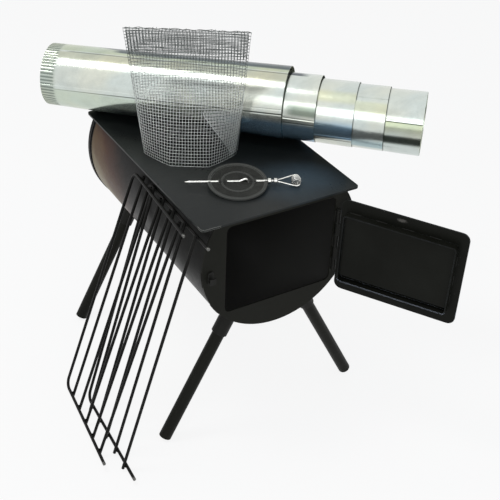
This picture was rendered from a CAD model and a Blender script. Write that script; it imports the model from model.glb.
# Tent wood stove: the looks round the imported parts, in metres and in the parts' own frame.
import bpy
import math
import random
from bisect import bisect_right
from mathutils import Matrix, Vector


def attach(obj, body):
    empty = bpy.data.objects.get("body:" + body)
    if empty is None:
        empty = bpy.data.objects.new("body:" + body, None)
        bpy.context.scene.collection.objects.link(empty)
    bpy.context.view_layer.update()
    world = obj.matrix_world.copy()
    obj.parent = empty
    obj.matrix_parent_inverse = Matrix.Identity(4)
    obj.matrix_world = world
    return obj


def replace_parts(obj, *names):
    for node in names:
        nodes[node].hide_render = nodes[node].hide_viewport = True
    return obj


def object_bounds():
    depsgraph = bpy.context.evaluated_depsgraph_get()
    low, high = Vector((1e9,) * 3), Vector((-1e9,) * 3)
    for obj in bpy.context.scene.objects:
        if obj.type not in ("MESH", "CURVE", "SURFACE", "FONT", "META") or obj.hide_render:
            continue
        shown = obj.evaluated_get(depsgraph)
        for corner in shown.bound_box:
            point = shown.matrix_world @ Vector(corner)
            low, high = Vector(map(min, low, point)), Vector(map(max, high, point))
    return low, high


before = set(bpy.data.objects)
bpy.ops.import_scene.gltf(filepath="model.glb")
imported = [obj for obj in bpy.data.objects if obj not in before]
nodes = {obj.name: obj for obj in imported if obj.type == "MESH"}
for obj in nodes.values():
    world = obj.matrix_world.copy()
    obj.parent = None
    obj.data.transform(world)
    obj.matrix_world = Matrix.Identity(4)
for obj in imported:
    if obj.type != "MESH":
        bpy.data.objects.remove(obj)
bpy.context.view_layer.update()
rnd = random.Random(7)
TAU = 2 * math.pi
MM = 0.001
UP = Vector((0, 0, 1))

# The gap at which loose pieces lie above the plate and the floor
CLEAR = 0.0003

# The firebox, whose shell is rolled round an axis along Y
AXIS_Z = -0.0955
SHELL_R = 0.173
SHELL_INNER_R = 0.1718
PANEL_SEAM_Y = -0.4378
PANEL_FACE_Y = -0.4413
CAP_Y = 0.0795
PLATE_T = 0.004
UNDER_PLATE_Z = -0.0048

# The legs, splayed to both sides
LEG_SPLAY = math.radians(28)
LEG_REACH = 0.493
LEG_R = 0.01335
FLOOR_Z = AXIS_Z - LEG_REACH * math.cos(LEG_SPLAY) - LEG_R * math.sin(LEG_SPLAY)

# The door: U runs from the hinge to the free edge, N through the door to its inner side
DOOR_U = Vector((0.53288, -0.84619, 0))
DOOR_N = Vector((-0.84619, -0.53288, 0))
HINGE = Vector((0.127, -0.4465, 0))

# The damper, flat on the plate
DAMPER_AT = (-0.038, -0.3325)
DAMPER_R = 0.058

# The stovepipe: five tapered sections, nested along one heading
PIPE_HEAD = math.radians(-43.8)
PIPE_D = Vector((math.cos(PIPE_HEAD), math.sin(PIPE_HEAD), 0))
PIPE_SIDE = Vector((-math.sin(PIPE_HEAD), math.cos(PIPE_HEAD), 0))
PIPE_AT = Vector((0, -0.0433, 0))
PIPE_BEHIND = 0.303
PIPE_L = 0.524
PIPE_BIG_R = 0.0755
PIPE_TAPER = 0.0089
PIPE_WALL = 0.0006
PIPE_TILT = math.atan(PIPE_TAPER / PIPE_L)
PIPE_AXIS = math.cos(PIPE_TILT) * PIPE_D + math.sin(PIPE_TILT) * UP
PIPE_DOWN = math.sin(PIPE_TILT) * PIPE_D - math.cos(PIPE_TILT) * UP
NEST_STEP = 0.0705
NEST_SHRINK = 0.0145
NEST_DROP = (0, 0.47, 0.72, 0.85, 1)
NEST_OUT = (0, 0.95, 2.04, 2.94, 4)
INNERMOST = 4
SEAM_AT = (-91, -89.5, -64.5, -154.5, -114)
SEAM_RUN = (-8, 0, 0, 0, 0)
LOCK_RISE = 0.0007
LOCK_GROOVE = 0.0003
TUCK_DEPTH = 0.0042
TUCK_WIDTH = 0.062
CRIMPS = 58
CRIMP_DEPTH = 0.0010
CRIMP_FULL = 0.026
CRIMP_END = 0.038

# The spark arrestor: its half-widths at the foot and at the flattened top, and how its middle leans
ARR_AT = Vector((-0.0595, -0.178, 0.0003))
ARR_H = 0.262
ARR_TURN = math.radians(-31)
ARR_ACROSS = Vector((-math.sin(ARR_TURN), math.cos(ARR_TURN), 0))
ARR_LEAN = Vector((-0.006, 0.005, 0))
ARR_FOOT = (0.095, 0.060)
ARR_TOP = (0.122, 0.0036)
ARR_LIFT = 0.0004
ARR_HALF_WALL = 0.0007
CELL = 0.00635
WIRE_R = 0.00042
ROWS = round(ARR_H / CELL)
COLS = 78
FACET_AT = (186, 246, 295, 366)
OVAL_STEPS = 240

# The wire shelves
ROD_R = 0.0032
SHELF_RODS = 5
SHELF_L = 0.530
SHELF_FIRST = 0.0345
SHELF_PITCH = 0.0485
SHELF_TIP_X = 0.272


# Camera at the photograph's place
def make_camera():
    data = bpy.data.cameras.new("camera")
    data.lens = 69.09
    data.sensor_width = 36
    data.clip_end = 60
    cam = bpy.data.objects.new("camera", data)
    bpy.context.scene.collection.objects.link(cam)
    right = Vector((0.860982, -0.507166, 0.038627))
    up = Vector((0.260479, 0.504876, 0.822952))
    back = Vector((-0.436875, -0.698486, 0.566796))
    cam.matrix_world = (
        Matrix.Translation((-0.86187, -1.70618, 0.95234))
        @ Matrix((right, up, back)).transposed().to_4x4()
    )
    bpy.context.scene.camera = cam


# Small number helpers
def smooth(a, b, x):
    """Eased step from 0 at a to 1 at b."""
    t = min(max((x - a) / (b - a), 0.0), 1.0)
    return t * t * (3 - 2 * t)


def band(x, a, b, c, d):
    """Eased up from 0 at a to 1 at b, and down again from 1 at c to 0 at d."""
    return smooth(a, b, x) * smooth(d, c, x)


def mixed(a, b, t):
    """Part t of the way from one row of numbers to another."""
    return tuple(p + (q - p) * t for p, q in zip(a, b))


# Shader helpers
class Shader:
    """A material with a principled shader and short ways to add nodes to it."""

    def __init__(self, name, **sockets):
        self.mat = bpy.data.materials.new(name)
        self.mat.use_nodes = True
        self.tree = self.mat.node_tree
        self.bsdf = self.tree.nodes["Principled BSDF"]
        self.coord = self.add("ShaderNodeTexCoord").outputs["Object"]
        for key, value in sockets.items():
            self.bsdf.inputs[key.replace("_", " ")].default_value = value

    def add(self, kind, **props):
        node = self.tree.nodes.new(kind)
        for key, value in props.items():
            setattr(node, key, value)
        return node

    def link(self, a, b):
        self.tree.links.new(a, b)

    def put(self, socket, value):
        if isinstance(value, bpy.types.NodeSocket):
            self.link(value, socket)
        else:
            socket.default_value = value

    def scaled(self, scale, turn=(0, 0, 0)):
        m = self.add("ShaderNodeMapping")
        m.inputs["Scale"].default_value = scale
        m.inputs["Rotation"].default_value = turn
        self.link(self.coord, m.inputs["Vector"])
        return m.outputs[0]

    def noise(self, scale, detail=4.0, rough=0.55, vec=None):
        n = self.add("ShaderNodeTexNoise")
        n.inputs["Scale"].default_value = scale
        n.inputs["Detail"].default_value = detail
        n.inputs["Roughness"].default_value = rough
        self.link(vec or self.coord, n.inputs["Vector"])
        return n.outputs["Fac"]

    def cells(self, scale):
        """Random colours, one to each cell, as separate numbers."""
        n = self.add("ShaderNodeTexVoronoi")
        n.inputs["Scale"].default_value = scale
        self.link(self.coord, n.inputs["Vector"])
        parts = self.add("ShaderNodeSeparateColor")
        self.link(n.outputs["Color"], parts.inputs[0])
        return parts.outputs

    def ramp(self, fac, *stops, ease="LINEAR"):
        """Each stop is (place, grey value or colour)."""
        r = self.add("ShaderNodeValToRGB")
        r.color_ramp.interpolation = ease
        e = r.color_ramp.elements
        while len(e) < len(stops):
            e.new(0.5)
        for k, (at, col) in enumerate(stops):
            e[k].position = at
            e[k].color = (col, col, col, 1) if isinstance(col, (int, float)) else (*col, 1)
        self.link(fac, r.inputs[0])
        return r.outputs[0]

    def math(self, op, a, b=0.0, c=0.0, clamp=False):
        m = self.add("ShaderNodeMath", operation=op, use_clamp=clamp)
        for socket, value in zip(m.inputs, (a, b, c)):
            self.put(socket, value)
        return m.outputs[0]

    def times(self, a, b):
        return self.math("MULTIPLY", a, b)

    def weighed(self, a, share_a, b, share_b):
        """The sum of two values, each by its share."""
        return self.math("ADD", self.times(a, share_a), self.times(b, share_b))

    def length(self, a, b):
        """The length of a flat vector with these two parts."""
        return self.math("SQRT", self.math("ADD", self.times(a, a), self.times(b, b)))

    def reach(self, parts, normal, offset=0.0):
        """How far a vector's parts lead along a normal, plus an offset."""
        total = offset
        for part, n in zip(parts, normal):
            total = self.math("MULTIPLY_ADD", part, n, total)
        return total

    def mix(self, fac, a, b, how="MIX"):
        m = self.add("ShaderNodeMix", data_type="RGBA", blend_type=how)
        m.clamp_factor = True
        self.put(m.inputs[0], fac)
        self.put(m.inputs[6], (*a, 1) if isinstance(a, tuple) else a)
        self.put(m.inputs[7], (*b, 1) if isinstance(b, tuple) else b)
        return m.outputs[2]

    def axes(self, of=None):
        s = self.add("ShaderNodeSeparateXYZ")
        self.link(of or self.coord, s.inputs[0])
        return s.outputs

    def edges(self, radius):
        """White along the sharp edges, black elsewhere."""
        bevel = self.add("ShaderNodeBevel", samples=6)
        bevel.inputs["Radius"].default_value = radius
        geo = self.add("ShaderNodeNewGeometry")
        dot = self.add("ShaderNodeVectorMath", operation="DOT_PRODUCT")
        self.link(bevel.outputs[0], dot.inputs[0])
        self.link(geo.outputs["Normal"], dot.inputs[1])
        return self.ramp(dot.outputs["Value"], (0.72, 1.0), (0.97, 0.0))

    def color(self, value):
        self.put(self.bsdf.inputs["Base Color"], value)

    def color_so_far(self):
        return self.bsdf.inputs["Base Color"].links[0].from_socket

    def rough(self, value):
        self.put(self.bsdf.inputs["Roughness"], value)

    def bump(self, *layers):
        """Each layer is (height, strength, distance)."""
        last = None
        for height, strength, distance in layers:
            b = self.add("ShaderNodeBump")
            b.inputs["Strength"].default_value = strength
            b.inputs["Distance"].default_value = distance
            self.link(height, b.inputs["Height"])
            if last:
                self.link(last, b.inputs["Normal"])
            last = b.outputs[0]
        self.link(last, self.bsdf.inputs["Normal"])


# Materials
def black_steel(name, low, high, worn, rough=(0.34, 0.55), edge=0.0012, gloss=0.12):
    """Satin black finish with a faint mottle, fine orange peel and rubbed edges."""
    s = Shader(name, Metallic=0.0, Specular_IOR_Level=gloss)
    cloud = s.noise(9, 5, 0.6)
    fine = s.noise(160, 4, 0.6)
    tone = s.mix(s.ramp(cloud, (0.3, 0.0), (0.7, 1.0)), low, high)
    rub = s.times(s.edges(edge), s.ramp(s.noise(45, 3), (0.32, 0.15), (0.62, 1.0)))
    s.color(s.mix(rub, tone, worn))
    s.rough(s.ramp(s.weighed(cloud, 0.6, fine, 0.4), (0.35, rough[0]), (0.65, rough[1])))
    s.bump((s.noise(30, 2), 0.10, 0.004), (s.noise(700, 2), 0.12, 0.0006))
    return s


def galvanised(name, tone, dark, spangle=95.0, stained=True):
    """Zinc-coated sheet: pale crystals, streaks along the rolled length and a tint stored on the mesh."""
    s = Shader(name, Metallic=0.82, Specular_IOR_Level=0.3)
    turn = (0, 0, -PIPE_HEAD)
    flake = s.weighed(s.cells(spangle)[0], 0.6, s.cells(spangle * 2.7)[1], 0.4)
    streak = s.noise(1.0, 4, 0.55, vec=s.scaled((3.0, 34.0, 34.0), turn))
    cloud = s.noise(7, 3, 0.5)
    base = s.mix(s.ramp(flake, (0.2, 0.42), (0.8, 0.62)), dark, tone)
    warm = s.ramp(s.noise(4.5, 2, 0.5, vec=s.scaled((1.0, 2.6, 2.6), turn)), (0.40, 0.0), (0.62, 1.0))
    cool_base = s.mix(1.0, base, (0.95, 0.99, 1.0), how="MULTIPLY")
    warm_base = s.mix(1.0, base, (1.02, 1.0, 0.93), how="MULTIPLY")
    base = s.mix(warm, cool_base, warm_base)
    base = s.mix(s.ramp(streak, (0.44, 0.0), (0.70, 0.45)), base, tuple(c * 0.80 for c in dark))
    if stained:
        tint = s.add("ShaderNodeAttribute", attribute_name="tint")
        base = s.mix(1.0, base, tint.outputs["Color"], how="MULTIPLY")
    s.color(base)
    s.rough(s.math("ADD", s.ramp(flake, (0.1, 0.15), (0.9, 0.20)), s.times(streak, 0.06)))
    s.bump((cloud, 0.07, 0.006), (streak, 0.03, 0.0012))
    return s


def shell_material():
    """Black shell whose finish has burnt to brown, straw and pale grey towards the rear, sooted inside."""
    s = black_steel("shell_black", (0.005, 0.005, 0.0045), (0.009, 0.009, 0.008), (0.02, 0.02, 0.018),
                    rough=(0.30, 0.45), gloss=0.09)
    x, y, z = s.axes()
    wob = s.times(s.noise(16, 3, 0.5), 0.16)
    # Both rise to about 1: along towards the rear, down towards the shell's underside
    along = s.math("ADD", s.math("MULTIPLY_ADD", y, 2.6, 0.72), wob)
    down = s.math("ADD", s.math("MULTIPLY_ADD", z, -3.0, -0.12), wob)
    heat = s.weighed(along, 0.62, down, 0.55)
    tint = s.ramp(heat, (0.42, (0.014, 0.013, 0.013)), (0.58, (0.060, 0.026, 0.016)),
                  (0.70, (0.115, 0.070, 0.034)), (0.82, (0.29, 0.25, 0.155)), (0.97, (0.30, 0.29, 0.22)))
    left = s.ramp(x, (0.0, 1.0), (0.05, 0.0))
    burnt = s.math("MULTIPLY", s.ramp(along, (0.30, 0.0), (0.80, 1.0), ease="EASE"), left, clamp=True)
    tone = s.mix(burnt, s.color_so_far(), tint)
    tone = s.mix(s.math("GREATER_THAN", y, CAP_Y), tone, (0.005, 0.005, 0.005))
    inner = s.math("LESS_THAN", s.length(x, s.math("ADD", z, -AXIS_Z)), SHELL_INNER_R)
    s.color(s.mix(inner, tone, (0.045, 0.044, 0.041)))
    return s


def door_material():
    """The door's black, rubbed bright along its lower inner edges, with a chip on its upper band."""
    s = black_steel("door_black", (0.0055, 0.0058, 0.0042), (0.010, 0.0105, 0.0085), (0.055, 0.06, 0.068),
                    rough=(0.36, 0.5), edge=0.0014, gloss=0.07)
    x, y, z = s.axes()
    low_from, low_to = -0.1935, -0.1830
    low = s.times(s.math("GREATER_THAN", z, low_from), s.math("LESS_THAN", z, low_to))
    tone = s.mix(s.times(low, s.edges(0.0011)), s.color_so_far(), (0.50, 0.55, 0.66))
    # The chip is a spot on the inner side, flatter than it is long
    chip_x, chip_y, chip_z = 0.1915, -0.5585, -0.0180
    flat = 2.4
    chip = s.add("ShaderNodeVectorMath", operation="DISTANCE")
    s.link(s.scaled((1.0, 1.0, flat)), chip.inputs[0])
    chip.inputs[1].default_value = (chip_x, chip_y, chip_z * flat)
    far = s.math("ADD", chip.outputs["Value"], s.times(s.noise(260, 3), 0.012))
    through = s.reach((x, y), DOOR_N, -HINGE.dot(DOOR_N))
    bare = s.times(s.ramp(far, (0.013, 0.8), (0.016, 0.0)), s.math("GREATER_THAN", through, 0.004))
    s.color(s.mix(bare, tone, (0.11, 0.105, 0.095)))
    return s


def plate_material():
    """The plate's black, paler to the front left, blued to the front right, one corner worn bright."""
    s = black_steel("plate_black", (0.004, 0.005, 0.005), (0.009, 0.0105, 0.0105), (0.022, 0.021, 0.018),
                    rough=(0.26, 0.38), gloss=0.10)
    x, y = s.axes()[:2]
    blue_x, blue_y = 0.072, -0.372
    corner_x, corner_y = -0.135, -0.425
    wob = s.times(s.noise(11, 3, 0.55), 0.05)
    front = s.math("ADD", s.math("MULTIPLY_ADD", x, -1.6, 0.06), s.math("MULTIPLY_ADD", y, -1.5, -0.24))
    pale = s.ramp(s.math("ADD", front, wob), (0.0, 0.0), (0.62, 1.0), ease="EASE")
    tone = s.mix(pale, s.color_so_far(), (0.024, 0.026, 0.0255))
    far = s.length(s.times(s.math("SUBTRACT", x, blue_x), 0.8), s.math("SUBTRACT", y, blue_y))
    blued = s.ramp(s.math("ADD", far, wob), (0.03, 0.85), (0.12, 0.0), ease="EASE")
    tone = s.mix(blued, tone, (0.040, 0.060, 0.078))
    corner = s.times(s.math("LESS_THAN", x, corner_x), s.math("LESS_THAN", y, corner_y))
    s.color(s.mix(s.times(corner, s.edges(0.0018)), tone, (0.34, 0.34, 0.31)))
    return s


def cast_material():
    """Cast iron: dark in its fields, paler on the raised rings and worn edges."""
    s = Shader("cast_grey", Metallic=0.0, Specular_IOR_Level=0.14)
    grit = s.noise(420, 5, 0.7)
    blot = s.noise(38, 4)
    x, y = s.axes()[:2]
    far = s.length(s.math("ADD", x, -DAMPER_AT[0]), s.math("ADD", y, -DAMPER_AT[1]))
    tone = s.mix(s.ramp(blot, (0.3, 0.0), (0.7, 1.0)), (0.012, 0.0125, 0.011), (0.026, 0.027, 0.024))
    rings = s.ramp(s.math("DIVIDE", far, DAMPER_R), (0.48, 0.0), (0.51, 0.45), (0.55, 0.45), (0.575, 0.0),
                   (0.86, 0.0), (0.90, 0.5), (0.97, 0.5), (0.995, 0.9))
    tone = s.mix(rings, tone, (0.085, 0.088, 0.082))
    tone = s.mix(s.times(s.edges(0.0022), 0.9), tone, (0.20, 0.205, 0.19))
    s.color(s.mix(s.ramp(grit, (0.5, 0.0), (0.75, 0.5)), tone, (0.10, 0.102, 0.095)))
    s.rough(s.ramp(grit, (0.3, 0.42), (0.7, 0.62)))
    s.bump((grit, 0.35, 0.0008), (s.noise(110, 3), 0.2, 0.0012))
    return s


def wire_material(name, tone, dark, rough=(0.2, 0.36), nook=0.0):
    """Drawn wire; nook is how far in the dark of its folds and curls reaches."""
    s = Shader(name, Metallic=1.0)
    base = s.mix(s.ramp(s.noise(240, 4, 0.6), (0.35, 0.0), (0.68, 1.0)), dark, tone)
    if nook:
        deep = s.add("ShaderNodeAmbientOcclusion", samples=8)
        deep.inputs["Distance"].default_value = nook
        base = s.mix(s.ramp(deep.outputs["AO"], (0.42, 0.0), (0.85, 1.0)), (0.03, 0.03, 0.028), base)
    s.color(base)
    s.rough(s.ramp(s.noise(35, 2), (0.3, rough[0]), (0.7, rough[1])))
    s.bump((s.noise(900, 2), 0.1, 0.0002))
    return s


def cloth_material():
    """Zinc wire, duller towards the flattened top, with soot on the sides that face the tube's middle."""
    s = wire_material("mesh_wire", (0.80, 0.83, 0.82), (0.54, 0.57, 0.56), rough=(0.32, 0.5))
    x, y, z = s.axes()
    high = s.ramp(s.math("ADD", z, s.times(s.noise(30, 2), 0.02)), (0.165, 0.0), (0.21, 1.0))
    tone = s.mix(high, s.color_so_far(), (0.20, 0.22, 0.215))
    # Which side of the tube's leaning middle plane a point is on, and which way its surface faces
    lean = ARR_ACROSS.dot(ARR_LEAN) / ARR_H
    side = s.reach((x, y, z), (ARR_ACROSS.x, ARR_ACROSS.y, -lean), -ARR_ACROSS.dot(ARR_AT))
    faces = s.reach(s.axes(of=s.add("ShaderNodeNewGeometry").outputs["Normal"])[:2], ARR_ACROSS)
    inward = s.times(s.math("SIGN", side), s.times(faces, -1.0))
    s.color(s.mix(s.ramp(inward, (0.0, 0.0), (0.4, 0.92)), tone, (0.022, 0.022, 0.020)))
    return s


def make_materials():
    """Every material of the object by its short name."""
    return {
        "panel": black_steel("panel_black", (0.008, 0.0083, 0.006), (0.013, 0.0133, 0.0105),
                             (0.04, 0.04, 0.034), rough=(0.42, 0.6), gloss=0.08),
        "cap": black_steel("cap_black", (0.004, 0.004, 0.004), (0.010, 0.010, 0.009),
                           (0.015, 0.015, 0.014), rough=(0.36, 0.5), gloss=0.07),
        "fitting": black_steel("fitting_black", (0.008, 0.008, 0.007), (0.015, 0.015, 0.013),
                               (0.07, 0.07, 0.065)),
        "leg": black_steel("leg_black", (0.006, 0.0062, 0.0046), (0.012, 0.0123, 0.0095),
                           (0.035, 0.035, 0.03), rough=(0.36, 0.55), gloss=0.09),
        "rod": black_steel("rod_black", (0.0035, 0.0035, 0.003), (0.008, 0.008, 0.007),
                           (0.010, 0.010, 0.009), rough=(0.34, 0.5), edge=0.0006),
        "weld": black_steel("weld_black", (0.008, 0.008, 0.007), (0.018, 0.018, 0.016),
                            (0.05, 0.05, 0.045), rough=(0.3, 0.5), edge=0.0005),
        "pipe": galvanised("pipe_zinc", (0.74, 0.77, 0.73), (0.60, 0.645, 0.61)),
        "pipe_in": galvanised("pipe_zinc_inner", (0.74, 0.76, 0.68), (0.56, 0.59, 0.51),
                              spangle=120.0, stained=False),
        "shell": shell_material(),
        "door": door_material(),
        "plate": plate_material(),
        "cast": cast_material(),
        "bright": wire_material("bright_wire", (0.84, 0.84, 0.81), (0.62, 0.62, 0.58), nook=0.007),
        "coil": wire_material("coil_wire", (0.88, 0.88, 0.86), (0.70, 0.70, 0.66), nook=0.014),
        "tip": wire_material("cut_steel", (0.20, 0.20, 0.19), (0.10, 0.10, 0.095), rough=(0.3, 0.45)),
        "cloth": cloth_material(),
    }


M = make_materials()

USES = {
    "shell": ["firebox_shell"],
    "plate": ["top_plate"],
    "panel": ["front_panel"],
    "cap": ["rear_cap"],
    "door": ["door_skin", "door_rim", "door_baffle"],
    "fitting": ["flue_collar", "leg_sockets", "hinge_barrel_body", "hinge_barrel_door", "hinge_pin",
                "latch_keeper", "keeper_rivet", "air_guides", "air_strip", "latch_bar"],
    "leg": ["leg_front_left", "leg_front_right", "leg_rear_left", "leg_rear_right"],
    "rod": ["latch_handle", "shelf_inner_frame", "shelf_inner_rods", "shelf_outer_frame", "shelf_outer_rods"],
    "bright": ["latch_bolt", "air_knob", "damper_rod", "damper_collars", "damper_coil_handle"],
    "cast": ["damper_disc"],
    "cloth": ["spark_arrestor"],
    "pipe": ["pipe_section_%d" % k for k in range(1, 6)],
}


def dress_nodes():
    """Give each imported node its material."""
    for key, names in USES.items():
        for name in names:
            slots = nodes[name].data.materials
            slots.clear()
            slots.append(M[key].mat)


# Mesh helpers
def piece(name, verts, faces, mats, body, pick=None):
    """A mesh object that rides on a body; pick says which of its materials each face has."""
    mesh = bpy.data.meshes.new(name)
    mesh.from_pydata([tuple(v) for v in verts], [], faces)
    mesh.validate()
    for m in mats:
        mesh.materials.append(M[m].mat)
    for k, poly in enumerate(mesh.polygons):
        poly.use_smooth = True
        if pick:
            poly.material_index = pick[k]
    mesh.update()
    obj = bpy.data.objects.new(name, mesh)
    bpy.context.scene.collection.objects.link(obj)
    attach(obj, body)
    return obj


class Build:
    """Gathers tubes and lumps into one mesh."""

    def __init__(self):
        self.verts = []
        self.faces = []

    def band_faces(self, i, j, sides):
        """The faces between two rings of points that start at i and at j."""
        for m in range(sides):
            q = (m + 1) % sides
            self.faces.append((i + m, i + q, j + q, j + m))

    def tube(self, path, r, sides=6, closed=False):
        """A round tube along points; r is a number or a function of the point's index."""
        pts = [Vector(p) for p in path]
        n = len(pts)
        start = len(self.verts)
        normal = None
        for k in range(n):
            a = pts[(k - 1) % n] if closed else pts[max(k - 1, 0)]
            b = pts[(k + 1) % n] if closed else pts[min(k + 1, n - 1)]
            d = (b - a).normalized()
            if normal is None:
                normal = d.orthogonal()
            normal = (normal - d * normal.dot(d)).normalized()
            other = d.cross(normal)
            rk = r(k) if callable(r) else r
            for m in range(sides):
                w = TAU * m / sides
                self.verts.append(pts[k] + rk * (math.cos(w) * normal + math.sin(w) * other))
        for k in range(n if closed else n - 1):
            self.band_faces(start + k * sides, start + ((k + 1) % n) * sides, sides)
        if not closed:
            self.faces.append(tuple(start + m for m in reversed(range(sides))))
            self.faces.append(tuple(start + (n - 1) * sides + m for m in range(sides)))

    def lump(self, centre, axis, r, length, seed):
        """A small rounded weld lump, a little uneven."""
        axis = Vector(axis).normalized()
        u = axis.orthogonal().normalized()
        v = axis.cross(u)
        start = len(self.verts)
        rings = 6
        sides = 10
        for k in range(rings + 1):
            t = math.pi * k / rings
            for m in range(sides):
                w = TAU * m / sides
                uneven = 1 + 0.16 * math.sin(3 * w + seed) + 0.08 * math.cos(5 * w - 2 * seed)
                rr = max(r * math.sin(t) * uneven, 1e-5)
                self.verts.append(Vector(centre) - axis * (length / 2 * math.cos(t))
                                  + rr * (math.cos(w) * u + math.sin(w) * v))
        for k in range(rings):
            self.band_faces(start + k * sides, start + (k + 1) * sides, sides)

    def bead(self, path, r, closed=False):
        """A weld bead: a tube whose radius ripples along its path."""
        ripple = 0.003
        steps_each = 4
        pts = [Vector(p) for p in path]
        out = [pts[0]]
        for a, b in zip(pts, pts[1:] + ([pts[0]] if closed else [])):
            steps = max(1, round((b - a).length / (ripple / steps_each)))
            for k in range(1, steps + 1):
                out.append(a.lerp(b, k / steps))
        if closed:
            out.pop()
        size = [r * rnd.uniform(0.88, 1.12) for _ in range(len(out) // steps_each + 2)]

        def radius(k):
            return size[k // steps_each] * (0.86 + 0.14 * abs(math.sin(math.pi * k / steps_each)))

        self.tube(out, radius, sides=7, closed=closed)

    def make(self, name, mat, body):
        return piece(name, self.verts, self.faces, [mat], body)


# Stovepipe stains: colours that multiply the zinc's own
SEAM_GRIME = (0.20, 0.21, 0.18)
TUCK_SHADE = (0.50, 0.52, 0.40)
TUCK_LINE = (0.12, 0.13, 0.10)
LIP_SHADE = (0.25, 0.28, 0.26)
TUCK_WAVE = (0.30, 0.33, 0.30)
RIM_SHADOW = (0.14, 0.15, 0.14)
BLUE = (0.38, 0.64, 0.98)
DEEP_BLUE = (0.20, 0.32, 0.50)
SKY_BLUE = (0.42, 0.64, 0.92)
BLUE_GREY = (0.55, 0.70, 0.78)
OLIVE = (0.90, 0.93, 0.84)
DARK_OLIVE = (0.80, 0.83, 0.70)
WARM_GREY = (0.82, 0.80, 0.70)
LINE_GREY = (0.45, 0.45, 0.40)
PATCH_GREY = (0.24, 0.29, 0.25)
UNDER_GREY = (0.25, 0.27, 0.27)
STRAW = (1.0, 0.98, 0.82)
PALE_STRAW = (1.0, 0.99, 0.84)
HEAT_GREY = (0.07, 0.10, 0.14)
HEAT_BLACK = (0.01, 0.015, 0.03)
HEAT_END = (0.09, 0.11, 0.14)
CRIMP_GREY = (0.74, 0.76, 0.71)
PLEAT_GREY = (0.26, 0.29, 0.27)


def seam_stains(k, off):
    """Grime beside a lock seam, or the shade in the innermost section's open one, by the distance off it."""
    if k < INNERMOST:
        yield SEAM_GRIME, (0.3 if k == 3 else 1) * band(off, 0.0030, 0.0040, 0.0048, 0.0064)
    else:
        yield TUCK_SHADE, band(off, -0.0001, 0.0001, 0.006, 0.040)
        yield TUCK_LINE, band(off, -0.0001, 0.0001, 0.0018, 0.0030)
        yield LIP_SHADE, band(off, -0.0045, -0.0040, -0.0033, -0.0028)
        yield TUCK_WAVE, band(off, 0.028, 0.036, 0.042, 0.056)


def section_stains(k, s, deg, rim):
    """A section's own stains, by the way along it and the angle round it, where 0 is down."""
    if k < 2:
        low = smooth(-88, -76, deg) * (smooth(0.34, 0.44, s) if k == 0 else 1)
        yield BLUE, 0.85 * low
        yield DEEP_BLUE, 0.8 * low * smooth(-56, -34, deg)
    if k == 0:
        yield OLIVE, smooth(-92, -84, deg) * smooth(0.40, 0.30, s)
        yield UNDER_GREY, smooth(-66, -54, deg) * band(s, 0.13, 0.17, 0.34, 0.44)
        yield DARK_OLIVE, band(deg, -222, -212, -169, -166)
        # A dark heat streak runs along the top, from a point to its full width
        edge = -208 + 36 * smooth(0.104, 0.165, s)
        wander = 5 * math.sin(19 * s) + 3 * math.sin(47 * s + 1)
        streak = smooth(-230, -207, deg + wander) * smooth(0.10, 0.12, s)
        yield HEAT_GREY, 0.92 * smooth(edge, edge - 6, deg) * streak
        yield HEAT_BLACK, smooth(-191, -198, deg) * streak
        yield LINE_GREY, band(deg, -166.5, -165, -163.5, -162) * smooth(0.04, 0.06, s)
        yield WARM_GREY, band(deg, -165, -161, -150, -145)
    elif k == 1:
        yield PATCH_GREY, 0.85 * band(deg, -122, -112, -103, -95) * smooth(rim, rim + 0.02, s)
        yield HEAT_END, smooth(rim + 0.036, rim + 0.026, s) * band(deg, -200, -190, -181, -177)
    elif k == 2:
        yield SKY_BLUE, 0.85 * band(deg, -106, -86, -66, -63)
        yield STRAW, band(deg, -160, -148, -138, -128)
    elif k == 3:
        yield BLUE_GREY, 0.8 * band(deg, -80, -62, -52, -44)
        yield PALE_STRAW, band(deg, -146, -138, -126, -118)


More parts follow.
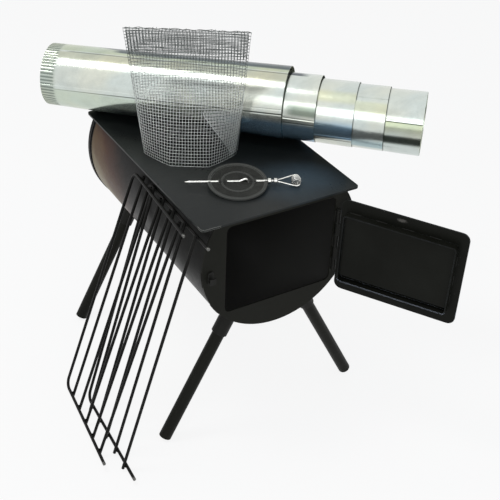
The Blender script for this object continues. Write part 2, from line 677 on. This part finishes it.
class Section:
    """One stovepipe section: its sizes, and the shape and stains of its sheet."""

    def __init__(self, k):
        shift = NEST_STEP * NEST_OUT[k]
        self.k = k
        self.big = PIPE_BIG_R - NEST_SHRINK * NEST_DROP[k] + shift * PIPE_TAPER / PIPE_L
        self.small = self.big - PIPE_TAPER
        lift = self.small * math.cos(PIPE_TILT) + CLEAR + k * (PIPE_WALL + CLEAR)
        self.origin = PIPE_AT + PIPE_D * (shift - PIPE_BEHIND) + lift * UP
        # Where the next larger section's rim lies
        self.rim = PIPE_L - NEST_STEP * (NEST_OUT[k] - NEST_OUT[k - 1]) if k else PIPE_L
        self.phase = rnd.uniform(0, TAU)

    def mean_radius(self, s):
        return self.small + (self.big - self.small) * s / PIPE_L

    def seam(self, s):
        return math.radians(SEAM_AT[self.k] + SEAM_RUN[self.k] * s / PIPE_L)

    def off_seam(self, s, w):
        """The distance round the pipe from its seam."""
        return ((w - self.seam(s) + math.pi) % TAU - math.pi) * self.mean_radius(s)

    def crimp(self, s):
        return 1 - smooth(CRIMP_FULL, CRIMP_END, s)

    def pleat(self, s, w):
        return self.crimp(s) * abs(math.sin(CRIMPS * w / 2))

    def fold(self, off):
        """How far the sheet stands out of the round at its seam, by the distance off it."""
        if self.k < INNERMOST:
            groove = LOCK_GROOVE * smooth(0.0066, 0.0058, abs(off - 0.0009))
            return LOCK_RISE * smooth(0.0046, 0.0034, abs(off)) - groove
        # The open seam's lower edge is tucked in under the upper one
        return -TUCK_DEPTH * max(0.0, 1 - off / TUCK_WIDTH) ** 1.3 if off > 0 else 0.0

    def dent(self, s, w):
        """How far the sheet, which isn't quite round, lies inside its round."""
        broad = 0.00018 * (1 + math.sin(2 * w + self.phase + 3 * s / PIPE_L))
        return broad + 0.00010 * (1 + math.sin(5 * w - self.phase + 9 * s))

    def radius(self, s, w):
        r = self.mean_radius(s) - CRIMP_DEPTH * self.pleat(s, w) ** 2
        return r + self.fold(self.off_seam(s, w)) - self.dent(s, w)

    def stains(self, s, w):
        """Every stain at a place, in the order they are laid on: its colour and strength."""
        rim = self.rim
        yield from seam_stains(self.k, self.off_seam(s, w))
        if self.k:
            yield RIM_SHADOW, band(s, rim - 0.0008, rim, rim + 0.0010, rim + 0.0026)
        yield from section_stains(self.k, s, math.degrees(w) % 360 - 360, rim)
        yield CRIMP_GREY, 0.8 * self.crimp(s)
        yield PLEAT_GREY, 0.85 * smooth(0.45, 0.95, self.pleat(s, w))

    def tint(self, s, w):
        c = (1.0, 1.0, 1.0)
        for stain, strength in self.stains(s, w):
            c = mixed(c, stain, strength)
        return (*c, 1.0)

    def stations(self):
        """The places of its rings of points along it, closer at the crimps, the rims and the next rim."""
        out = [0.0, 0.0005, 0.006, 0.012, 0.018, 0.024, 0.028, 0.031, 0.0335, 0.0355, 0.0375, 0.04, 0.044]
        out += [0.05] + [0.06 + j * 0.02 for j in range(23)] + [PIPE_L - 0.0015, PIPE_L - 0.0005, PIPE_L]
        if self.k:
            out += [self.rim + d for d in (-0.001, 0.0005, 0.0022, 0.0035, 0.006, 0.013)]
        return sorted(out)

    def ring(self, s):
        """The angles of a ring's points: eight to a crimp, and more beside the seam."""
        marks = (-0.0066, -0.0058, -0.0044, -0.0034, 0.0034, 0.0044, 0.0058, 0.0066)
        if self.k == INNERMOST:
            marks = (-0.0045, -0.0038, -0.0028, -0.0005, 0.0, 0.00005, 0.0006, 0.0016, 0.0028)
        n = CRIMPS * 8
        start = self.seam(s) + math.pi
        angles = [start + TAU * j / n for j in range(n)]
        angles += [start + math.pi + m / self.big for m in marks]
        return sorted(angles)


def sheet_faces(n, m):
    """The faces of a rolled sheet with m rings of n points on each side, and which of them are inside."""
    faces, pick = [], []
    inner = n * m
    for j in range(m - 1):
        for i in range(n):
            q = (i + 1) % n
            a, b, c, d = j * n + i, j * n + q, (j + 1) * n + q, (j + 1) * n + i
            faces.append((a, b, c, d))
            faces.append((inner + d, inner + c, inner + b, inner + a))
            pick += [0, 1]
    for j in (0, m - 1):
        for i in range(n):
            a, b = j * n + i, j * n + (i + 1) % n
            faces.append((a, inner + a, inner + b, b) if j == 0 else (a, b, inner + b, inner + a))
            pick.append(1)
    return faces, pick


def pipe_section(k):
    """A rolled sheet section: crimped small end, lock seam, plain large end."""
    section = Section(k)
    stations = section.stations()
    verts, tints = [], []
    for wall in (0.0, PIPE_WALL):
        for s in stations:
            ring = section.ring(s)
            for w in ring:
                r = section.radius(s, w) - wall
                out = math.cos(w) * PIPE_DOWN + math.sin(w) * PIPE_SIDE
                verts.append(section.origin + PIPE_AXIS * s + r * out)
                tints.append(section.tint(s, w))
    faces, pick = sheet_faces(len(ring), len(stations))
    obj = piece("pipe_skin_%d" % (k + 1), verts, faces, ["pipe", "pipe_in"], "pipe_%d" % (k + 1),
                pick)
    layer = obj.data.attributes.new("tint", "FLOAT_COLOR", "POINT")
    for i, c in enumerate(tints):
        layer.data[i].color = c
    obj.data.set_sharp_from_angle(angle=math.radians(38))
    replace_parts(obj, "pipe_section_%d" % (k + 1))


# Spark arrestor: square wire cloth rolled to an oval and pinched flat at the top
def bent_oval(w, a, b, stiff):
    """A point on an oval whose side towards the door is bent in flats, by a share."""
    p = (a * math.cos(w), b * math.sin(w))
    deg = (math.degrees(w) - FACET_AT[0]) % 360 + FACET_AT[0]
    for lo, hi in zip(FACET_AT, FACET_AT[1:]):
        if lo <= deg <= hi:
            ends = [(a * math.cos(math.radians(d)), b * math.sin(math.radians(d))) for d in (lo, hi)]
            return mixed(p, mixed(*ends, (deg - lo) / (hi - lo)), stiff)
    return p


def turned(x, y):
    """A flat vector in the arrestor's own directions, in the frame's."""
    c = math.cos(ARR_TURN)
    s = math.sin(ARR_TURN)
    return Vector((x * c - y * s, x * s + y * c, 0))


def oval(t, grow=0.0):
    """The arrestor's outline at a height share: a place and its outward direction by the share round it."""
    bent_below = 0.6
    stiff = 0.85 * max(0.0, 1 - t / bent_below) ** 1.5
    a, b = (half - ARR_HALF_WALL + grow for half in mixed(ARR_FOOT, ARR_TOP, t))
    run, last = [0.0], (a, 0.0)
    for k in range(1, OVAL_STEPS + 1):
        p = bent_oval(TAU * k / OVAL_STEPS, a, b, stiff)
        run.append(run[-1] + math.dist(p, last))
        last = p

    def at(share):
        want = (share % 1.0) * run[-1]
        k = min(bisect_right(run, want), OVAL_STEPS) - 1
        w = TAU * (k + (want - run[k]) / max(run[k + 1] - run[k], 1e-9)) / OVAL_STEPS
        place = turned(*bent_oval(w, a, b, stiff)) + ARR_LEAN * t
        return place, turned(b * math.cos(w), a * math.sin(w)).normalized()

    return at


def on_cloth(outline, share, t):
    """A place on the arrestor at a share of the way round and of its height."""
    return ARR_AT + outline(share)[0] + (ARR_H * t + ARR_LIFT) * UP


def cloth_wires():
    """The woven tube, with ragged wire ends along its cut top."""
    cloth = Build()
    rings = [oval(j / ROWS) for j in range(ROWS + 1)]
    drift = [rnd.uniform(-1, 1) for _ in range(COLS)]

    def point(i, j, side):
        t = j / ROWS
        wave = 0.10 * math.sin(j * 0.31 + i * 0.23) + 0.10 * drift[i % COLS] * t
        p, n = rings[j]((i + wave) / COLS)
        z = ARR_H * t + 0.0006 * math.sin(i * 0.41) * math.sin(math.pi * t) + ARR_LIFT
        weave = WIRE_R * 0.9 * (1 if (i + j) % 2 else -1) * side
        return ARR_AT + p + n * weave + z * UP

    for i in range(COLS):
        path = [point(i, j, 1) for j in range(ROWS + 1)]
        tail = rnd.uniform(0.0005, 0.0035)
        lean = Vector((rnd.uniform(-1, 1), rnd.uniform(-1, 1), 0)) * 0.0022
        path.append(path[-1] + tail * 0.5 * UP + lean * 0.4)
        path.append(path[-1] + (tail * 0.5 - 0.0006) * UP + lean)
        cloth.tube(path, WIRE_R, sides=5)
    for j in range(ROWS + 1):
        cloth.tube([point(i, j, -1) for i in range(COLS)], WIRE_R, sides=5, closed=True)
    # A second strand twisted along the cut top
    strand = []
    for i in range(COLS):
        rise = 0.0009 + 0.0009 * math.sin(i * 1.7) + 0.0007 * math.sin(i * 0.6)
        strand.append(point(i, ROWS, 1) + rise * UP)
    cloth.tube(strand, WIRE_R * 1.3, sides=5, closed=True)
    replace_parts(cloth.make("arrestor_wires", "cloth", "arrestor"), "spark_arrestor")


def lap_wires():
    """The cloth's lap over itself on the door's side; its free edge runs down at a slant."""
    lap = Build()
    edge_from, edge_to, last = 0.815, 0.955, 1.03
    high, low = 0.40, 0.06
    foot, top = 0.03, 0.42
    out = 0.0013
    gaps, reach = 17, 0.37

    def place(share, t, grow=out):
        return on_cloth(oval(t, grow), share, t)

    def edge(t):
        return edge_from + (edge_to - edge_from) * min(max((high - t) / (high - low), 0), 1)

    for j in range(1, 18):
        t = (j + 0.45) / ROWS
        lap.tube([place(edge(t) + (last - edge(t)) * q / 14, t) for q in range(15)], WIRE_R, sides=5)
    for i in range(gaps + 1):
        share = edge_from + (last - edge_from) * i / gaps
        start = foot
        if share < edge_to:
            start = max(foot, high - (high - low) * (share - edge_from) / (edge_to - edge_from))
        heights = [start + (top - start) * q / 12 for q in range(13)]
        heights = [t for t in heights if share >= edge_to or edge(t) <= share + 1e-6]
        if len(heights) > 1:
            lap.tube([place(share, t) for t in heights], WIRE_R, sides=5)
    down = [top - reach * q / 20 for q in range(21)]
    lap.tube([place(edge(t), t, out + 0.0003) for t in down], WIRE_R * 1.25, sides=6)
    lap.make("arrestor_lap_wires", "cloth", "arrestor")


def hem_wires():
    """The cut top is turned in, so the cloth is double there."""
    hem = Build()
    low, high, rows = 0.80, 0.985, 8
    heights = [low + (high - low) * j / rows for j in range(rows + 1)]
    outlines = [oval(t, -0.0014) for t in heights]
    shares = [(i + 0.5) / COLS for i in range(COLS)]
    for share in shares:
        hem.tube([on_cloth(o, share, t) for o, t in zip(outlines, heights)], WIRE_R * 1.4, sides=5)
    for o, t in zip(outlines[1:], heights[1:]):
        hem.tube([on_cloth(o, share, t) for share in shares], WIRE_R * 1.4, sides=5, closed=True)
    hem.make("arrestor_hem_wires", "cloth", "arrestor")


# Damper's wire handle, on the route of the solid
def damper_handle():
    tilt = math.radians(6.5)
    rod_z = CLEAR + 0.0035 * math.cos(tilt) + 0.057 * math.sin(tilt)
    place = Matrix.Translation((*DAMPER_AT, rod_z)) @ Matrix.Rotation(math.radians(-25.3), 4, "Z")
    wire, coil_wire = 0.0015, 0.00068
    turns, pitch, coil_r, end_share = 6.5, 0.0034, 0.009, 0.74
    rod_end = 0.0586 + 2 * 0.0056 + 0.0066
    coil_u = rod_end + 0.0375
    coil_z = coil_r + 0.0016 - rod_z
    start = rod_end + 0.0003
    half = turns * pitch / 2
    ends = 14

    def leg(side, z):
        out = []
        for t in (0.0, 0.06, 0.12, 0.2, 0.3, 0.4, 0.5, 0.6, 0.7, 0.78):
            spread = max(0.0, (t - 0.05) / 0.95)
            out.append(mixed((start,), (coil_u,), t) + mixed((side * 0.003, 0), (side * half, z), spread))
        return out

    n = int(turns * 28)
    coil = []
    for k in range(n + 1):
        t = k / n
        a = TAU * turns * t
        r = coil_r * (1 + (end_share - 1) * (2 * t - 1) ** 2)
        coil.append((coil_u + r * math.sin(a), half * (2 * t - 1), coil_z - r * math.cos(a)))
    path = leg(-1, coil_z - coil_r * end_share) + coil + leg(1, coil_z + coil_r * end_share)[::-1]
    # The bends from the legs into the coil are eased
    for _ in range(3):
        eased = list(path)
        for k in range(1, len(path) - 1):
            if k < ends or k > len(path) - 1 - ends:
                eased[k] = tuple((a + 2 * b + c) / 4 for a, b, c in zip(path[k - 1], path[k], path[k + 1]))
        path = eased
    last = len(path) - 1

    def radius(k):
        return coil_wire + (wire - coil_wire) * smooth(20, 8, min(k, last - k))

    b = Build()
    b.tube([place @ Vector(p) for p in path], radius, sides=10)
    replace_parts(b.make("damper_wire_handle", "coil", "damper"), "damper_coil_handle")


# Welds on the stove
def socket_welds(b):
    """Rings round the four leg sockets, where they meet the shell."""
    r, proud, n = 0.0172, 0.0004, 40
    for side in (-1, 1):
        down = Vector((side * math.sin(LEG_SPLAY), 0, -math.cos(LEG_SPLAY)))
        across = Vector((side * math.cos(LEG_SPLAY), 0, math.sin(LEG_SPLAY)))
        for y in (-0.394, 0.067):
            path = []
            for k in range(n):
                w = TAU * k / n
                p, q = r * math.cos(w), r * math.sin(w)
                s = math.sqrt(SHELL_R ** 2 - p * p) + proud
                path.append(Vector((0, y + q, AXIS_Z)) + down * s + across * p)
            b.bead(path, 0.0021, closed=True)


def panel_welds(b):
    """The front panel's seam with the rolled shell, in short runs."""
    r = SHELL_R * 1.001
    run, steps = 0.2, 14
    for k in range(9):
        start = math.radians(-112 + k * 28) - run / 2
        turns = [start + run * q / steps for q in range(steps + 1)]
        path = [Vector((r * math.sin(w), PANEL_SEAM_Y, AXIS_Z - r * math.cos(w))) for w in turns]
        if max(path[0].z, path[-1].z) < -0.006:
            b.bead(path, 0.0012)


def plate_welds(b):
    """The shell's upper edges, stitched to the underside of the plate, and the flue collar's seam."""
    edge_x = math.sqrt(SHELL_R ** 2 - (AXIS_Z + PLATE_T) ** 2) + 0.0004
    first, pitch, stitch = -0.39, 0.088, 0.026
    for side in (-1, 1):
        for k in range(6):
            y = first + k * pitch
            b.bead([(side * edge_x, y, UNDER_PLATE_Z), (side * edge_x, y + stitch, UNDER_PLATE_Z)], 0.0014)
    r, n = 0.0702, 90
    turns = [TAU * k / n for k in range(n)]
    b.bead([(r * math.cos(w), r * math.sin(w), UNDER_PLATE_Z) for w in turns], 0.0016, closed=True)


def hinge_welds(b):
    """Runs beside the three hinge knuckles on the front panel."""
    low, high = 0.002, 0.026
    for z in (-0.1798, -0.1238, -0.0678):
        for x in (0.1221, 0.1319):
            b.bead([(x, PANEL_FACE_Y, z + low), (x, PANEL_FACE_Y, z + high)], 0.0011)


def stove_welds():
    b = Build()
    socket_welds(b)
    panel_welds(b)
    plate_welds(b)
    hinge_welds(b)
    b.make("stove_welds", "weld", "stove")


def on_door(u, n, z):
    """A place on the open door, from millimetres along it, through it and up."""
    return HINGE + DOOR_U * (u * MM) + DOOR_N * (n * MM) + z * MM * UP


def door_welds():
    """Stitches where the raised rim stands on the door, and low lumps on the sheet beside it."""
    b = Build()
    face, sunk, r = 5.3, 4.0, 0.0010
    across, down = 24, 22
    for u in (24, 78, 132, 186):
        for z in (-34.2, -190.4):
            b.bead([on_door(u, face, z), on_door(u + across, face, z)], r)
    for z in (-60, -104, -148):
        for u in (16.4, 244.6):
            b.bead([on_door(u, face, z), on_door(u, face, z - down)], r)
    for u, z in ((248.7, -60), (247.6, -77), (251.5, -145), (85, -205), (130.5, -22.4)):
        b.lump(on_door(u, sunk, z), DOOR_U, r * 1.4, 0.0060, seed=u)
    b.make("door_welds", "weld", "door")


# Shelves: weld lumps at the crossings and bright cut tips
def shelf_place(x, y, heading, tilt, roll, face):
    """The place of a shelf that leans on the stove with its lowest end on the floor."""
    t = math.radians(tilt)
    r = math.radians(roll)
    stub = 0.007
    off = 0.00645
    z = (FLOOR_Z + CLEAR + ROD_R * math.sqrt(1 - (math.cos(r) * math.sin(t)) ** 2)
         + stub * math.cos(r) * math.sin(t) - SHELF_FIRST * math.sin(r) * math.sin(t)
         - face * off * math.cos(t))
    return (Matrix.Translation((x, y, z)) @ Matrix.Rotation(math.radians(heading), 4, "Z")
            @ Matrix.Rotation(t, 4, "X") @ Matrix.Rotation(r, 4, "Z"))


def shelf_details(body, place, face):
    welds = Build()
    for k in range(SHELF_RODS):
        for y in (0, SHELF_L):
            for side in (-1, 1):
                at = place @ Vector((SHELF_FIRST + SHELF_PITCH * k + side * 0.0029, y, face * ROD_R))
                welds.lump(at, place.to_3x3() @ Vector((0.2, 1, 0)), 0.0018, 0.0062,
                           seed=k * 2.1 + y * 9 + side)
    welds.make(body + "_welds", "rod", body)
    tips = Build()
    radii = (0.00324, 0.00324, 0.0029, 0.0012)
    for y in (0, SHELF_L):
        path = [place @ Vector((SHELF_TIP_X + d, y, 0)) for d in (-0.0060, 0.0, 0.0003, 0.0005)]
        tips.tube(path, lambda k: radii[k], sides=18)
    tips.make(body + "_tips", "tip", body)


# Floor, background and lights
def stage_floor():
    """A pale floor that the camera and reflections see nearly white, and that keeps the shadow."""
    radius, corners, glow_share = 30, 64, 0.86
    s = Shader("floor_pale", Roughness=0.9, Specular_IOR_Level=0.0)
    s.bsdf.inputs["Base Color"].default_value = (0.90, 0.90, 0.90, 1)
    path = s.add("ShaderNodeLightPath")
    others = s.math("ADD", path.outputs["Is Glossy Ray"], path.outputs["Is Transmission Ray"])
    seen = s.math("ADD", path.outputs["Is Camera Ray"], others, clamp=True)
    glow = s.add("ShaderNodeEmission")
    glow.inputs["Color"].default_value = (1, 1, 1, 1)
    blend = s.add("ShaderNodeMixShader")
    s.link(s.times(seen, glow_share), blend.inputs[0])
    s.link(s.bsdf.outputs[0], blend.inputs[1])
    s.link(glow.outputs[0], blend.inputs[2])
    s.link(blend.outputs[0], s.tree.nodes["Material Output"].inputs["Surface"])
    mesh = bpy.data.meshes.new("floor")
    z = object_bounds()[0].z - CLEAR
    turns = [TAU * k / corners for k in range(corners)]
    edge = [(radius * math.cos(w), radius * math.sin(w), z) for w in turns]
    mesh.from_pydata(edge, [], [tuple(range(corners))])
    mesh.materials.append(s.mat)
    floor = bpy.data.objects.new("floor", mesh)
    bpy.context.scene.collection.objects.link(floor)


def stage_world():
    """A soft cool light all round, white where the camera, reflections or clear pieces look at it."""
    world = bpy.data.worlds.new("studio")
    bpy.context.scene.world = world
    world.use_nodes = True
    tree = world.node_tree
    tree.nodes.clear()
    path = tree.nodes.new("ShaderNodeLightPath")
    add = tree.nodes.new("ShaderNodeMath")
    both = tree.nodes.new("ShaderNodeMath")
    both.use_clamp = True
    light = tree.nodes.new("ShaderNodeBackground")
    light.inputs[0].default_value = (0.93, 0.96, 1.0, 1)
    light.inputs[1].default_value = 0.55
    white = tree.nodes.new("ShaderNodeBackground")
    white.inputs[0].default_value = (1, 1, 1, 1)
    white.inputs[1].default_value = 1.0
    pick = tree.nodes.new("ShaderNodeMixShader")
    out = tree.nodes.new("ShaderNodeOutputWorld")
    tree.links.new(path.outputs["Is Camera Ray"], add.inputs[0])
    tree.links.new(path.outputs["Is Glossy Ray"], add.inputs[1])
    tree.links.new(add.outputs[0], both.inputs[0])
    tree.links.new(path.outputs["Is Transmission Ray"], both.inputs[1])
    tree.links.new(both.outputs[0], pick.inputs[0])
    tree.links.new(light.outputs[0], pick.inputs[1])
    tree.links.new(white.outputs[0], pick.inputs[2])
    tree.links.new(pick.outputs[0], out.inputs[0])


def lamp(name, at, to, along, size, power, tint):
    """A rectangular soft lamp: size is (length, width), its length run along a direction."""
    data = bpy.data.lights.new(name, "AREA")
    data.shape = "RECTANGLE"
    data.size, data.size_y = size
    data.energy = power
    data.color = tint
    obj = bpy.data.objects.new(name, data)
    bpy.context.scene.collection.objects.link(obj)
    back = (Vector(at) - Vector(to)).normalized()
    side = (Vector(along) - back * back.dot(Vector(along))).normalized()
    turn = Matrix((side, back.cross(side), back)).transposed().to_4x4()
    obj.matrix_world = Matrix.Translation(at) @ turn


make_camera()
dress_nodes()
for k in range(5):
    pipe_section(k)
hem_wires()
cloth_wires()
lap_wires()
damper_handle()
stove_welds()
door_welds()
shelf_details("shelf_inner", shelf_place(-0.3274, -0.2074, -93.4, 72.1, 1.7, 1), 1)
shelf_details("shelf_outer", shelf_place(-0.3541, -0.1483, -96.3, 69.96, 2.47, -1), -1)
stage_floor()
stage_world()
lamp("key_lamp", at=(-0.93, 0.19, 2.15), to=(0, -0.15, 0), along=(0.85, -0.45, 0), size=(1.05, 0.55),
     power=18, tint=(1.0, 0.985, 0.96))
lamp("fill_lamp", at=(-1.6, -2.6, 1.5), to=(0, -0.15, -0.2), along=(1, -0.6, 0), size=(2.4, 1.6),
     power=22, tint=(0.95, 0.98, 1.0))
bpy.context.scene.view_settings.view_transform = "Standard"
